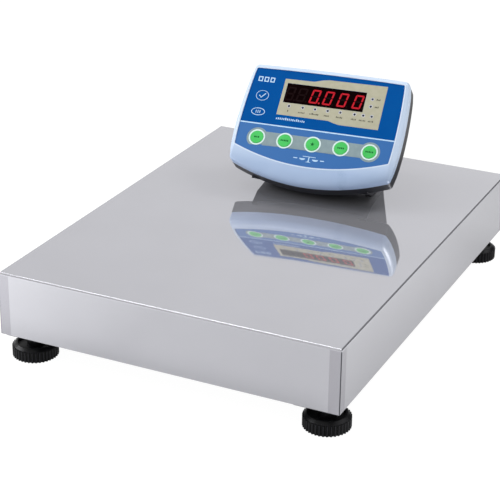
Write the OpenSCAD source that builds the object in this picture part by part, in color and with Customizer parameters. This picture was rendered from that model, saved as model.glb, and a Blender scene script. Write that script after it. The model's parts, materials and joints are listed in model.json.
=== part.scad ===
// Electronic bench scale: a weighing platform on levelling feet, with a free-standing indicator terminal.
// Millimetres, +Z up. The origin is on the floor under the middle of the platform; +X runs along
// the short front edge and +Y away from it.

/* [Pan] */
// Width of the pan, along X
pan_w = 450; // [444:1:456]
// Depth of the pan, along Y
pan_d = 600; // [594:1:610]
// Height of the folded skirt
pan_h = 82.5; // [81:0.5:90]
// Thickness of the stainless sheet
pan_t = 1.2; // [1:0.1:1.5]
// Outer radius of the bends
pan_bend = 3; // [2:0.5:4]
// Height of the skirt's lower edge above the floor
floor_gap = 36.5; // [36:0.5:38]

/* [Frames] */
// Wall of the rectangular tubes
tube_t = 2; // [1.5:0.5:2.5]
// Width of the lengthwise tubes
side_rail_w = 30; // [26:1:30]
// Distance of the lengthwise tubes' middles from the centre line
side_rail_x = 70; // [68:1:72]
// Width of the crosswise tubes
cross_rail_w = 40; // [38:1:40]
// Height of the base frame's tubes
base_rail_h = 26; // [24:1:27]

/* [Feet] */
// Distance of the feet from the centre, along X
foot_x = 197; // [194:1:198]
// Distance of the feet from the centre, along Y
foot_y = 268; // [264:1:270]
// Radius over the ribs of the hand wheel
knob_r = 28.8; // [26:0.2:29]
// Number of ribs
knob_ribs = 38; // [30:1:44]
// Radius of the threaded stud
stud_r = 6; // [5:0.5:6]

/* [Load cell] */
// Length of the load cell, along Y
cell_l = 150; // [146:1:152]
// Width of the load cell
cell_w = 40; // [36:1:40]
// Distance of its bolts from its middle
cell_bolt_y = 60; // [58:1:61]

/* [Terminal] */
// Place of the middle key above the pan, along X
term_x = 13.4; // [0:0.1:20]
// Place of the middle key above the pan, along Y
term_y = 98; // [80:1:110]
// Height of the middle key above the pan
key_h = 74.4; // [74:0.1:75]
// Turn of the terminal on the pan, in degrees
term_yaw = 5.2; // [0:0.1:10]
// Slope of the terminal's face, in degrees
term_tilt = 46.5; // [46:0.1:47]
// Depth of the front case, from its face to the parting line
front_depth = 17.5; // [17:0.5:18]
// Depth of the terminal's wide part, from the face to its back
tray_depth = 36; // [36:0.5:37]
// Width of the stand that is moulded on the rear case
stand_w = 164; // [156:1:166]
// Pitch of the five keys
key_pitch = 39.6; // [39:0.1:40]
// Radius of a key
key_r = 9.15; // [8.8:0.05:9.3]

/* [Hidden] */
$fn = 48;
eps = 0.01;

pan_top = floor_gap + pan_h;
pan_under = pan_top - pan_t;
seam = 0.7; // width of the corner seams' groove

bracket_t = 4;
base_z = floor_gap - 1; // underside of the base frame's tubes
base_top = base_z + base_rail_h;
bracket_l = 57;
bracket_w = 50;
nut_h = 6;
nut_z = base_z - bracket_t - nut_h;
cross_in = foot_y - cross_rail_w / 2; // inner face of the base frame's cross tubes
base_half = pan_w / 2 - 8; // half the base frame's width over its end caps
cap_t = 2;
plug_l = 8;

plate_t = 6;
spacer_t = 3;
lower_plate_z = base_z + 3;
cell_z = lower_plate_z + plate_t + spacer_t;
cell_h = 28;
cell_top = cell_z + cell_h;
upper_plate_z = cell_top + spacer_t;
upper_z = upper_plate_z + plate_t;
upper_top = 110;
upper_h = upper_top - upper_z;
upper_y = 232.5;
upper_cross_w = 35;
upper_half = 205;
cushion_x = 185;
cell_bolt_x = 12;
bolt_r = 4;
thread_gap = 0.05;
bolt_depth = 16;
rail_gap = side_rail_x - side_rail_w / 2; // half the space between the lengthwise tubes

stop_y = 170;
stop_r = 5;
stop_gap = 1; // free travel down to the overload screws
level_x = -120;
level_r = 16;
level_h = 10;
vial_r = 11;
column_dx = 80; // bolt pattern of a column's bracket, under the rear cross tube
column_dy = 24;
column_r = 3.3;

sole_t = 3;
sole_r = 24;
knob_z = 1.2;
knurl_top = 14.7;
rim_top = 18.5;
dish_z = 12.5;
hub_r = 11;
hub_top = 21;
stud_z = 6;
stud_top = 66;
rib_depth = 1.5;
feet = [[-1, -1], [1, -1], [-1, 1], [1, 1]]; // front left, front right, rear left, rear right

// The terminal's outlines: half widths at the top, at the widest place and at the lower corners, then the
// heights of the top, of the widest place, of the lower corners and of the lowest point, then the top
// edge's bow and the corners' radius. The middle key is at their origin.
case_form = [110, 116.5, 112.5, 110.5, 20, -33, -56.5, 1.5, 6.5];
panel_form = [105, 109, 108, 102.5, 20, -13, -33.5, 1.5, 2.5];
wall = 3;
window_w = 112.4;
window_h = 29;
window_v = 70.5;
window_t = 2.4;
overlay_t = 0.5;
rim_h = 0.8; // the case's edge stands this far above the overlay
case_round = 9; // depth of the rounded edge between the outer wall and the rim
round_steps = 6;
hollow_top = 11; // the hollow narrows above this depth, under the rounded edge
display_t = 9.3;
board_t = 1.6;
board_w = -(window_t + display_t + 0.3);
led_r = 1.5;
led_row = 51.3;
led_us = [-46.4, -26.8, -9.2, 8.6, 26.5, 46.4, 58.6, 70.3];
led_side_u = 65.6;
led_side_vs = [65.6, 76.5];
ring_r = 11.5;
ring_t = 0.35;
key_proud = 0.9;
key_travel = 0.5;
key_flange_r = 11;
key_flange_t = 1.2;
key_stem_r = 3;
key_stem = 7;
switch_h = 3.5;
case_screws_at = [[98, 97], [105, 43], [103, -20]];
boss_r = 4;
screw_r = 1.45;
screw_head_r = 2.9;
screw_head_h = 1.5;
back_wall = 2.5;
tray_edge = 1.5; // bevel round the back of the rear case
socket_u = 97;
socket_v = 25;
rocker_v = 62;
rocker_tilt = 6;
pin_r = 0.9; // the rocker's pivot pins
pin_half = 5.9;
jack_r = 2.85;
back_angle = 58.4; // slope of the stand's back
back_foot = [74, 11];
back_len = 85;
base_clear = 6; // the stand's underside is this far above the pan, on its rubber feet
door_w = 100.4;
door_l = 58;
door_t = 2.2;
door_y = 8;
door_gap = 0.08; // between the door and the stand's back
battery_size = [100, 62, 40];

steel = "#c6c6ca";
frame_paint = "#4a4d50";
zinc = "#b9bcbf";
black = "#1a1b20";
rubber = "#151518";
light_blue = "#a8bcda";
board_green = "#1f6b3a";

// ---- shapes used by several parts ----

// A rectangular tube along X, its middle at the origin
module tube(l, w, h) {
  difference() {
    cube([l, w, h], center = true);
    cube([l + 1, w - 2 * tube_t, h - 2 * tube_t], center = true);
  }
}

// A plastic plug for the end of a tube that ends at x = 0 and runs towards -X
module end_cap(w, h) {
  translate([0, -w / 2, -h / 2])
    cube([cap_t, w, h]);
  translate([-plug_l, -w / 2 + tube_t, -h / 2 + tube_t])
    cube([plug_l, w - 2 * tube_t, h - 2 * tube_t]);
}

module hex(flats, h) {
  cylinder(r = flats / 2 / cos(30), h = h, $fn = 6);
}

module at_feet() {
  for (f = feet)
    translate([f[0] * foot_x, f[1] * foot_y, 0])
      children();
}

// Mirrored copies about the X axis, the Y axis or both
module both_x() {
  for (s = [0, 1])
    mirror([s, 0, 0])
      children();
}

module both_y() {
  for (s = [0, 1])
    mirror([0, s, 0])
      children();
}

// ---- platform ----

// The section of a folded sheet: a rectangle whose two upper corners are bent round
module bent_section(w, h, r) {
  union() {
    translate([-w / 2, 0])
      square([w, h - r]);
    translate([-w / 2 + r, 0])
      square([w - 2 * r, h]);
    for (s = [-1, 1])
      translate([s * (w / 2 - r), h - r])
        circle(r = r);
  }
}

// A block with all four upper edges bent round
module bent_block(w, d, h, r) {
  intersection() {
    rotate([90, 0, 0])
      linear_extrude(d, center = true)
        bent_section(w, h, r);
    rotate([90, 0, 90])
      linear_extrude(w, center = true)
        bent_section(d, h, r);
  }
}

module pan() {
  color(steel)
    translate([0, 0, floor_gap])
      difference() {
        bent_block(pan_w, pan_d, pan_h, pan_bend);
        translate([0, 0, -eps])
          bent_block(pan_w - 2 * pan_t, pan_d - 2 * pan_t, pan_h - pan_t + eps, pan_bend - pan_t);
        for (x = [-1, 1], y = [-1, 1])
          translate([x * pan_w / 2, y * pan_d / 2, -eps])
            rotate([0, 0, 45])
              translate([-seam / 2, -seam / 2, 0])
                cube([seam, seam, pan_h - pan_bend]);
      }
}

module pan_cushions() {
  color(rubber)
    both_x() both_y()
      translate([cushion_x, upper_y, upper_top])
        difference() {
          cylinder(r = 14, h = pan_under - upper_top);
          translate([0, 0, 3])
            cylinder(r = 4, h = 10);
        }
}

module upper_side_rails() {
  color(frame_paint)
    both_x()
      translate([side_rail_x, 0, upper_z + upper_h / 2])
        rotate([0, 0, 90])
          tube(2 * (upper_y - upper_cross_w / 2), side_rail_w, upper_h);
}

module upper_cross_rails() {
  color(frame_paint)
    both_y()
      translate([0, upper_y, upper_z + upper_h / 2])
        tube(2 * (upper_half - cap_t), upper_cross_w, upper_h);
}

module upper_end_caps() {
  color(rubber)
    both_x() both_y()
      translate([upper_half - cap_t, upper_y, upper_z + upper_h / 2])
        end_cap(upper_cross_w, upper_h);
}

// The plate across the lengthwise tubes that carries the cell's free end
module upper_plate() {
  color(frame_paint)
    difference() {
      translate([-rail_gap - side_rail_w, 25, upper_plate_z])
        cube([2 * (rail_gap + side_rail_w), 65, plate_t]);
      cell_bolt_holes(1, upper_plate_z - 1, 10);
    }
}

module upper_spacer() {
  color(zinc)
    difference() {
      translate([-cell_w / 2, cell_l / 2 - 30, cell_top])
        cube([cell_w, 30, spacer_t]);
      cell_bolt_holes(1, cell_top - 1, 10);
    }
}

// Holes for the two bolts at one end of the cell: end is -1 at the fixed end, 1 at the free one
module cell_bolt_holes(end, z, h) {
  for (x = [-1, 1])
    translate([x * cell_bolt_x, end * cell_bolt_y, z])
      cylinder(r = bolt_r + 2 * thread_gap, h = h);
}

// A hexagon bolt whose head's underside is at the origin and whose shank runs up
module hex_bolt(r, l) {
  cylinder(r = r, h = l);
  translate([0, 0, -0.7 * 2 * r])
    hex(3.2 * r, 0.7 * 2 * r);
}

module upper_cell_bolts() {
  color(zinc)
    for (x = [-1, 1])
      translate([x * cell_bolt_x, cell_bolt_y, upper_z])
        mirror([0, 0, 1])
          hex_bolt(bolt_r, plate_t + spacer_t + bolt_depth);
}

module lower_cell_bolts() {
  color(zinc)
    for (x = [-1, 1])
      translate([x * cell_bolt_x, -cell_bolt_y, lower_plate_z])
        hex_bolt(bolt_r, plate_t + spacer_t + bolt_depth);
}

// A single-point cell: an aluminium beam thinned by two joined bores, so that its free end moves parallel
module load_cell() {
  color("#c9cbcd")
    difference() {
      translate([-cell_w / 2, -cell_l / 2, cell_z])
        cube([cell_w, cell_l, cell_h]);
      for (y = [-14, 14])
        translate([0, y, cell_z + cell_h / 2])
          rotate([0, 90, 0])
            cylinder(r = 11.5, h = cell_w + 1, center = true);
      translate([0, 0, cell_z + cell_h / 2])
        cube([cell_w + 1, 28, 8], center = true);
      cell_bolt_holes(-1, cell_z - 1, bolt_depth + 3);
      cell_bolt_holes(1, cell_top - bolt_depth - 2, bolt_depth + 3);
    }
}

module lower_spacer() {
  color(zinc)
    difference() {
      translate([-cell_w / 2, -cell_l / 2, cell_z - spacer_t])
        cube([cell_w, 30, spacer_t]);
      cell_bolt_holes(-1, cell_z - 10, 20);
    }
}

module lower_plate() {
  color(frame_paint)
    difference() {
      translate([-rail_gap, -90, lower_plate_z])
        cube([2 * rail_gap, 65, plate_t]);
      cell_bolt_holes(-1, lower_plate_z - 1, 10);
    }
}

module base_side_rails() {
  color(frame_paint)
    difference() {
      both_x()
        translate([side_rail_x, 0, base_z + base_rail_h / 2])
          rotate([0, 0, 90])
            tube(2 * cross_in, side_rail_w, base_rail_h);
      at_stops()
        translate([0, 0, base_top - 5])
          cylinder(r = stop_r + thread_gap, h = 10);
    }
}

module base_cross_rails() {
  color(frame_paint)
    difference() {
      both_y()
        translate([0, foot_y, base_z + base_rail_h / 2])
          tube(2 * (base_half - cap_t), cross_rail_w, base_rail_h);
      at_feet()
        translate([0, 0, base_z - 1])
          cylinder(r = stud_r + 1, h = base_rail_h + 2);
      for (x = [-1, 1], y = [-1, 1])
        translate([x * column_dx / 2, foot_y + y * column_dy / 2, base_z - 1])
          cylinder(r = column_r, h = tube_t + 2);
      translate([0, foot_y, base_z + base_rail_h / 2])
        rotate([-90, 0, 0])
          cylinder(r = 6.1, h = cross_rail_w);
    }
}

module base_end_caps() {
  color(rubber)
    both_x() both_y()
      translate([base_half - cap_t, foot_y, base_z + base_rail_h / 2])
        end_cap(cross_rail_w, base_rail_h);
}

// The plates welded under the ends of the cross tubes, tapped for the feet's studs
module foot_brackets() {
  color(frame_paint)
    difference() {
      both_x() both_y()
        translate([foot_x + 25 - bracket_l, foot_y - bracket_w / 2, base_z - bracket_t])
          cube([bracket_l, bracket_w, bracket_t]);
      at_feet()
        translate([0, 0, base_z - bracket_t - 1])
          cylinder(r = stud_r + thread_gap, h = bracket_t + 2);
    }
}

module lock_nuts() {
  color(zinc)
    at_feet()
      translate([0, 0, nut_z])
        difference() {
          hex(3 * stud_r + 1, nut_h);
          translate([0, 0, -1])
            cylinder(r = stud_r + thread_gap, h = nut_h + 2);
        }
}

module at_stops() {
  both_x() both_y()
    translate([side_rail_x, stop_y, 0])
      children();
}

// Screws that stop the upper frame before the cell is overloaded
module overload_screws() {
  color(zinc)
    at_stops() {
      translate([0, 0, base_top - 8])
        cylinder(r = stop_r, h = upper_z - stop_gap - base_top + 8);
      translate([0, 0, upper_z - stop_gap - 6])
        hex(16, 6);
    }
}

module overload_nuts() {
  color(zinc)
    at_stops()
      translate([0, 0, base_top])
        difference() {
          hex(16, 5);
          translate([0, 0, -1])
            cylinder(r = stop_r + thread_gap, h = 7);
        }
}

module level_holder() {
  color(black)
    translate([level_x, -foot_y, base_top])
      difference() {
        cylinder(r = level_r, h = level_h);
        translate([0, 0, 2])
          cylinder(r = vial_r, h = level_h);
      }
}

module level_vial() {
  color("#b9d64c")
    translate([level_x, -foot_y, base_top + 2])
      cylinder(r = vial_r - 0.1, h = level_h - 2.5);
}

// Gland for the cell's lead, in the rear face of the rear cross tube
module cable_gland() {
  color(black)
    translate([0, foot_y + cross_rail_w / 2, base_z + base_rail_h / 2])
      rotate([-90, 0, 0])
        difference() {
          union() {
            hex(15, 4);
            translate([0, 0, 4])
              cylinder(r1 = 6.5, r2 = 4.5, h = 5);
            translate([0, 0, -8])
              cylinder(r = 6, h = 8);
          }
          translate([0, 0, -9])
            cylinder(r = 3, h = 20);
        }
}

// The ribs round a hand wheel: its radius swings between crest and root with a flattened wave
function rib_wave(a) = max(-0.6, min(0.6, cos(a))) / 0.6;
function knurl(n) = [
  for (i = [0:8 * n - 1])
    let (a = 45 * i / n, r = knob_r - rib_depth / 2 + rib_depth / 2 * rib_wave(n * a))
      [r * cos(a), r * sin(a)]
];

module foot_knob(k) {
  f = feet[k - 1];
  root_r = knob_r - rib_depth;
  color(rubber)
    translate([f[0] * foot_x, f[1] * foot_y, 0])
      difference() {
        union() {
          translate([0, 0, knob_z])
            linear_extrude(knurl_top - knob_z)
              polygon(knurl(knob_ribs));
          rotate_extrude($fn = 96)
            polygon([
              [0, knob_z], [root_r, knob_z], [root_r, knurl_top + 0.6], [root_r - 3.4, rim_top],
              [root_r - 5.4, rim_top], [root_r - 8, dish_z], [hub_r, dish_z], [hub_r - 1, hub_top], [0, hub_top]
            ]);
        }
        translate([0, 0, -1])
          cylinder(r = sole_r + 0.5, h = sole_t + 1);
        translate([0, 0, stud_z])
          cylinder(r = stud_r, h = 30);
      }
}

module foot_stud(k) {
  f = feet[k - 1];
  color(zinc)
    translate([f[0] * foot_x, f[1] * foot_y, stud_z]) {
      cylinder(r = stud_r, h = stud_top - stud_z - 1);
      translate([0, 0, stud_top - stud_z - 1])
        cylinder(r1 = stud_r, r2 = stud_r - 1, h = 1);
    }
}

module foot_sole(k) {
  f = feet[k - 1];
  color("#0e0e10")
    translate([f[0] * foot_x, f[1] * foot_y, 0])
      cylinder(r = sole_r, h = sole_t);
}

// ---- terminal ----

// Standing on the pan: X along the terminal, Y away from its front, Z up
module terminal() {
  translate([term_x, term_y, pan_top])
    rotate([0, 0, term_yaw])
      children();
}

// On the terminal's face: X along it, Y up the slope, Z out of it, with the middle key at the origin
module face() {
  terminal()
    translate([0, 0, key_h])
      rotate([term_tilt, 0, 0])
        children();
}

function side_u(f, v) =
  let (t = v > f[4] ? (v - f[4]) / (f[3] - f[4]) : (f[4] - v) / (f[4] - f[5]))
    f[1] - (f[1] - (v > f[4] ? f[0] : f[2])) * t * t;
function bottom_v(f, u) = f[6] + (f[5] - f[6]) * pow(u / f[2], 2);
function top_v(f, u) = f[3] + f[7] * (1 - pow(u / f[0], 2));
function arc(c, r, a0, a1, n) = [
  for (i = [0:n])
    let (a = a0 + (a1 - a0) * i / n)
      c + r * [cos(a), sin(a)]
];

// The right half of a form's outline, from its lowest point round to its top
function right_half(f, n) =
  let (
    r = f[8],
    slope = atan(2 * (f[5] - f[6]) / f[2]),
    u0 = f[2] - r + r * sin(slope),
    low = [u0 - r * sin(slope), bottom_v(f, u0) + r * cos(slope)],
    v1 = f[3] - r
  )
    concat(
      [for (i = [0:n - 1]) let (u = u0 * i / n) [u, bottom_v(f, u)]],
      arc(low, r, slope - 90, 0, 6),
      [for (i = [1:n - 1]) let (v = low[1] + (v1 - low[1]) * i / n) [side_u(f, v), v]],
      arc([f[0] - r, v1], r, 4, 90, 6),
      [for (i = [1:4]) let (u = (f[0] - r) * (1 - i / 4)) [u, top_v(f, u)]]
    );

// A form drawn in by a margin
function shrink(f, m) = [
  f[0] - m, f[1] - m, f[2] - m, f[3] - m, f[4], f[5] + m * 0.75, f[6] + m, f[7], max(1, f[8] - m)
];

module outline(f, n = 12) {
  half = right_half(f, n);
  polygon(concat(half, [for (i = [len(half) - 2:-1:1]) [-half[i][0], half[i][1]]]));
}

// A slab of a form, drawn in by a margin, between two depths
module slab(f, m, z0, z1) {
  translate([0, 0, z0])
    linear_extrude(z1 - z0)
      outline(shrink(f, m));
}

module at_keys() {
  for (i = [-2:2])
    translate([i * key_pitch, 0, 0])
      children();
}

module at_leds() {
  for (u = led_us)
    translate([u, led_row, 0])
      children();
  for (v = led_side_vs)
    translate([led_side_u, v, 0])
      children();
}

module at_screws() {
  for (p = case_screws_at, s = [-1, 1])
    translate([s * p[0], p[1], 0])
      children();
}

module window_cut(gap, z0, z1) {
  translate([-window_w / 2 - gap, window_v - window_h / 2 - gap, z0])
    cube([window_w + 2 * gap, window_h + 2 * gap, z1 - z0]);
}

// A form part of the way from the case's outline to the panel's
function between(s) = [for (i = [0:8]) case_form[i] + (panel_form[i] - case_form[i]) * s];

// One step of the case's rounded edge, a quarter of an ellipse from the outer wall to the rim
function round_in(i) = 1 - cos(90 * i / round_steps);
function round_w(i) = rim_h - case_round * (1 - sin(90 * i / round_steps));

module front_case() {
  color(light_blue)
    face()
      difference() {
        union() {
          difference() {
            union() {
              slab(case_form, 0, -front_depth, rim_h - case_round);
              for (i = [0:round_steps - 1])
                hull() {
                  slab(between(round_in(i)), 0, round_w(i) - eps, round_w(i));
                  slab(between(round_in(i + 1)), 0, round_w(i + 1) - eps, round_w(i + 1));
                }
            }
            hull() {
              slab(case_form, wall, -front_depth - 1, -hollow_top);
              slab(between(0.6), 0, -wall - eps, -wall);
            }
          }
          at_screws()
            translate([0, 0, -front_depth])
              cylinder(r = boss_r, h = front_depth - wall + eps);
        }
        slab(panel_form, 0, -overlay_t, rim_h + 1);
        window_cut(0, -wall - 1, 0);
        at_keys()
          translate([0, 0, -wall - 1])
            cylinder(r = key_r + 0.4, h = wall + 1);
        at_leds()
          translate([0, 0, -wall - 1])
            cylinder(r = led_r + 0.1, h = wall + 1);
        at_screws()
          translate([0, 0, -front_depth - 1])
            cylinder(r = screw_r, h = front_depth - 6);
      }
}

module face_overlay() {
  color("#0054a0")
    face()
      difference() {
        slab(panel_form, 0.1, -overlay_t, 0);
        window_cut(0, -1, 1);
        at_keys()
          translate([0, 0, -1])
            cylinder(r = key_r + 0.25, h = 2);
        at_leds()
          translate([0, 0, -1])
            cylinder(r = led_r + 0.1, h = 2);
      }
}

module display_window() {
  color("#2a0508")
    face()
      window_cut(-0.1, -window_t - 0.1, -0.1);
}

module led_display() {
  color("#101012")
    face()
      translate([-window_w / 2 + 2, window_v - window_h / 2 + 1, board_w])
        cube([window_w - 4, window_h - 2, display_t]);
}

module display_board() {
  color(board_green)
    face()
      translate([-64, 37, board_w - board_t])
        cube([146, 52, board_t]);
}

module status_leds() {
  color("#3a3f2a")
    face()
      at_leds()
        translate([0, 0, board_w]) {
          cylinder(r = led_r, h = -board_w - 0.9);
          translate([0, 0, -board_w - 0.9])
            cylinder(r1 = led_r, r2 = led_r - 0.7, h = 0.8);
        }
}

module key_rings() {
  color("#ddf3ee")
    face()
      at_keys()
        difference() {
          cylinder(r = ring_r, h = ring_t);
          translate([0, 0, -1])
            cylinder(r = key_r + 0.25, h = 3);
        }
}

// A green cap that shows through the overlay, held up by its flange under the case
module key(i) {
  color("#4fc868")
    face()
      translate([(i - 3) * key_pitch, 0, 0]) {
        translate([0, 0, -wall - eps])
          cylinder(r = key_r, h = wall + key_proud - 0.4 + eps);
        translate([0, 0, key_proud - 0.4])
          cylinder(r1 = key_r, r2 = key_r - 0.6, h = 0.4);
        translate([0, 0, -wall - key_flange_t])
          cylinder(r = key_flange_r, h = key_flange_t);
        translate([0, 0, -key_stem])
          cylinder(r = key_stem_r, h = 4);
      }
}

module key_switches() {
  color("#2b2b2e")
    face()
      at_keys()
        translate([0, 0, -key_stem - key_travel - switch_h]) {
          translate([-3, -3, 0])
            cube([6, 6, switch_h - 0.8]);
          cylinder(r = 1.7, h = switch_h);
        }
}

module key_board() {
  color(board_green)
    face()
      translate([-92, -12, -key_stem - key_travel - switch_h - board_t])
        cube([184, 24, board_t]);
}

module main_board() {
  color(board_green)
    face()
      translate([-72, 4, -29]) {
        cube([144, 66, board_t]);
        translate([20, 15, board_t])
          cube([14, 14, 2]);
        translate([60, 30, board_t])
          cube([22, 8, 3]);
        translate([100, 12, board_t])
          cube([12, 24, 6]);
      }
}

// A point of the face's frame as distance behind the middle key and height above the pan
function behind(v, w) = [
  v * cos(term_tilt) - w * sin(term_tilt), key_h + v * sin(term_tilt) + w * cos(term_tilt)
];
back_dir = [cos(back_angle), sin(back_angle)];

// Side view of the stand, from the front of its underside round to its back and up to the wide part
stand_section = [
  behind(-48, -30), behind(-45, -tray_depth), [12, 8.6], [40, base_clear], [72, base_clear],
  back_foot, back_foot + back_len * back_dir, behind(85, -tray_depth), behind(85, -30)
];

module stand(width, margin) {
  rotate([90, 0, 90])
    linear_extrude(width, center = true)
      offset(delta = -margin)
        polygon(stand_section);
}

// On the stand's back: Y up it and Z into the terminal
module stand_back() {
  terminal()
    translate([0, back_foot[0], back_foot[1]])
      rotate([back_angle, 0, 0])
        children();
}

module door_rails() {
  for (s = [0, 1])
    mirror([s, 0, 0])
      translate([door_w / 2 + 0.2, door_y - 2.5, 0]) {
        translate([0, 0, -door_t - 0.2])
          cube([3, door_l + 2.5, door_t + 0.4]);
        translate([-1.7, 0, -door_t - 1.4])
          cube([4.7, door_l + 2.5, 1.2 + eps]);
      }
  translate([-door_w / 2 - 1, door_y - 2.5, -door_t])
    cube([door_w + 2, 2.4, door_t + 0.2]);
}

module tray_form() {
  face()
    slab(case_form, 0, -tray_depth + tray_edge, -front_depth);
  face()
    hull() {
      slab(case_form, 0, -tray_depth + tray_edge, -tray_depth + tray_edge + eps);
      slab(case_form, tray_edge, -tray_depth, -tray_depth + eps);
    }
}

module rear_case() {
  color(black)
    difference() {
      union() {
        difference() {
          tray_form();
          face()
            slab(case_form, wall + 1, -tray_depth + back_wall, -front_depth + 1);
          terminal()
            stand(stand_w - 2 * back_wall, back_wall);
          face()
            translate([-socket_u, socket_v, -tray_depth - 1])
              cylinder(r = 5, h = 6);
          face()
            translate([socket_u, socket_v, -tray_depth - 1])
              cylinder(r = 7.1, h = 6);
          face()
            translate([socket_u - 6.6, rocker_v - 10.1, -tray_depth - 1])
              cube([13.2, 20.2, 6]);
        }
        face()
          at_screws()
            translate([0, 0, -tray_depth + back_wall - eps])
              cylinder(r = boss_r, h = tray_depth - back_wall - front_depth + eps);
      }
      face()
        at_screws() {
          translate([0, 0, -tray_depth - 1])
            cylinder(r = screw_r + 0.25, h = tray_depth);
          translate([0, 0, -tray_depth - 1])
            cylinder(r = screw_head_r + 0.2, h = 1 + screw_head_h);
        }
    }
}

// The stand's walls, moulded in one with the rear case: a hollow wedge with the battery's opening in its back
module stand_shell() {
  color(black)
    difference() {
      union() {
        difference() {
          terminal()
            stand(stand_w, 0);
          terminal()
            stand(stand_w - 2 * back_wall, back_wall);
          tray_form();
        }
        stand_back()
          door_rails();
      }
      stand_back()
        translate([-46, door_y + 4, -1])
          cube([92, door_l - 8, 8]);
      terminal()
        at_terminal_feet()
          cylinder(r = 5, h = base_clear + 0.8);
    }
}

module battery_door() {
  color(black)
    stand_back()
      difference() {
        translate([-door_w / 2, door_y, -door_t - door_gap])
          cube([door_w, door_l, door_t]);
        for (i = [0:4])
          translate([-16, door_y + door_l - 8 - 3 * i, -door_t - 1])
            cube([32, 1.2, 1.8 - door_gap]);
      }
}

module battery() {
  color("#3b3f45")
    stand_back()
      translate([-battery_size[0] / 2, 7, 3.6]) {
        cube(battery_size);
        for (s = [-1, 1])
          translate([battery_size[0] / 2 + s * 36 - 2.5, battery_size[1], 16])
            cube([5, 5, 0.8]);
      }
}

module at_terminal_feet() {
  for (u = [-68, 68], y = [47, 65])
    translate([u, y, 0])
      children();
}

module terminal_feet() {
  color(rubber)
    terminal()
      at_terminal_feet()
        cylinder(r = 4.9, h = base_clear + 0.8);
}

module case_screws() {
  color(zinc)
    face()
      at_screws() {
        translate([0, 0, -tray_depth + screw_head_h - eps])
          cylinder(r = screw_r, h = tray_depth - screw_head_h - 8);
        difference() {
          translate([0, 0, -tray_depth])
            cylinder(r = screw_head_r, h = screw_head_h);
          translate([-2, -0.4, -tray_depth - 1])
            cube([4, 0.8, 1.8]);
          translate([-0.4, -2, -tray_depth - 1])
            cube([0.8, 4, 1.8]);
        }
      }
}

module switch_frame() {
  color(rubber)
    face()
      translate([socket_u, rocker_v, -tray_depth])
        difference() {
          union() {
            translate([-6.5, -10, 0])
              cube([13, 20, 12]);
            translate([-7.5, -11, -1.5])
              cube([15, 22, 1.5]);
          }
          translate([-5.6, -9, -2])
            cube([11.2, 18, 9]);
          translate([-pin_half - 0.2, 0, 0])
            rotate([0, 90, 0])
              cylinder(r = pin_r + 0.1, h = 2 * pin_half + 0.4);
        }
}

module power_rocker() {
  color("#8e1b1b")
    face()
      translate([socket_u, rocker_v, -tray_depth])
        rotate([rocker_tilt, 0, 0])
          rotate([90, 0, 90]) {
            linear_extrude(10.4, center = true)
              polygon([[-8, 4], [-8, -2.4], [0, -1.4], [8, -2.4], [8, 4]]);
            cylinder(r = pin_r, h = 2 * pin_half, center = true);
          }
}

module dc_jack() {
  color(rubber)
    face()
      translate([-socket_u, socket_v, -tray_depth])
        difference() {
          union() {
            translate([0, 0, -1])
              cylinder(r = 4.9, h = 4);
            translate([-6.5, -5.5, back_wall])
              cube([13, 11, 11]);
          }
          difference() {
            translate([0, 0, -2])
              cylinder(r = jack_r, h = 11);
            translate([0, 0, 0.5])
              cylinder(r = 1.05, h = 9);
          }
        }
}

// A round socket for the cell's lead, with five pins
module cell_socket() {
  color(zinc)
    face()
      translate([socket_u, socket_v, -tray_depth]) {
        difference() {
          union() {
            cylinder(r = 7, h = 12);
            translate([0, 0, -3])
              cylinder(r = 9, h = 3);
          }
          translate([0, 0, -4])
            cylinder(r = 5.4, h = 8);
        }
        for (i = [0:4])
          rotate([0, 0, 72 * i])
            translate([3, 0, -1])
              cylinder(r = 0.6, h = 6);
      }
}

pan();
pan_cushions();
upper_side_rails();
upper_cross_rails();
upper_end_caps();
upper_plate();
upper_spacer();
upper_cell_bolts();
load_cell();
lower_cell_bolts();
lower_spacer();
lower_plate();
base_side_rails();
base_cross_rails();
base_end_caps();
foot_brackets();
lock_nuts();
overload_screws();
overload_nuts();
level_holder();
level_vial();
cable_gland();
foot_knob(1);  // foot_knob_1
foot_knob(2);  // foot_knob_2
foot_knob(3);  // foot_knob_3
foot_knob(4);  // foot_knob_4
foot_stud(1);  // foot_stud_1
foot_stud(2);  // foot_stud_2
foot_stud(3);  // foot_stud_3
foot_stud(4);  // foot_stud_4
foot_sole(1);  // foot_sole_1
foot_sole(2);  // foot_sole_2
foot_sole(3);  // foot_sole_3
foot_sole(4);  // foot_sole_4
front_case();
rear_case();
stand_shell();
face_overlay();
display_window();
led_display();
display_board();
status_leds();
key_rings();
key(1);  // key_1
key(2);  // key_2
key(3);  // key_3
key(4);  // key_4
key(5);  // key_5
key_switches();
key_board();
main_board();
battery();
battery_door();
switch_frame();
power_rocker();
dc_jack();
cell_socket();
case_screws();
terminal_feet();
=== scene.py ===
import json
import math
import random

import bmesh
import bpy
from mathutils import Matrix, Vector, geometry


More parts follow.
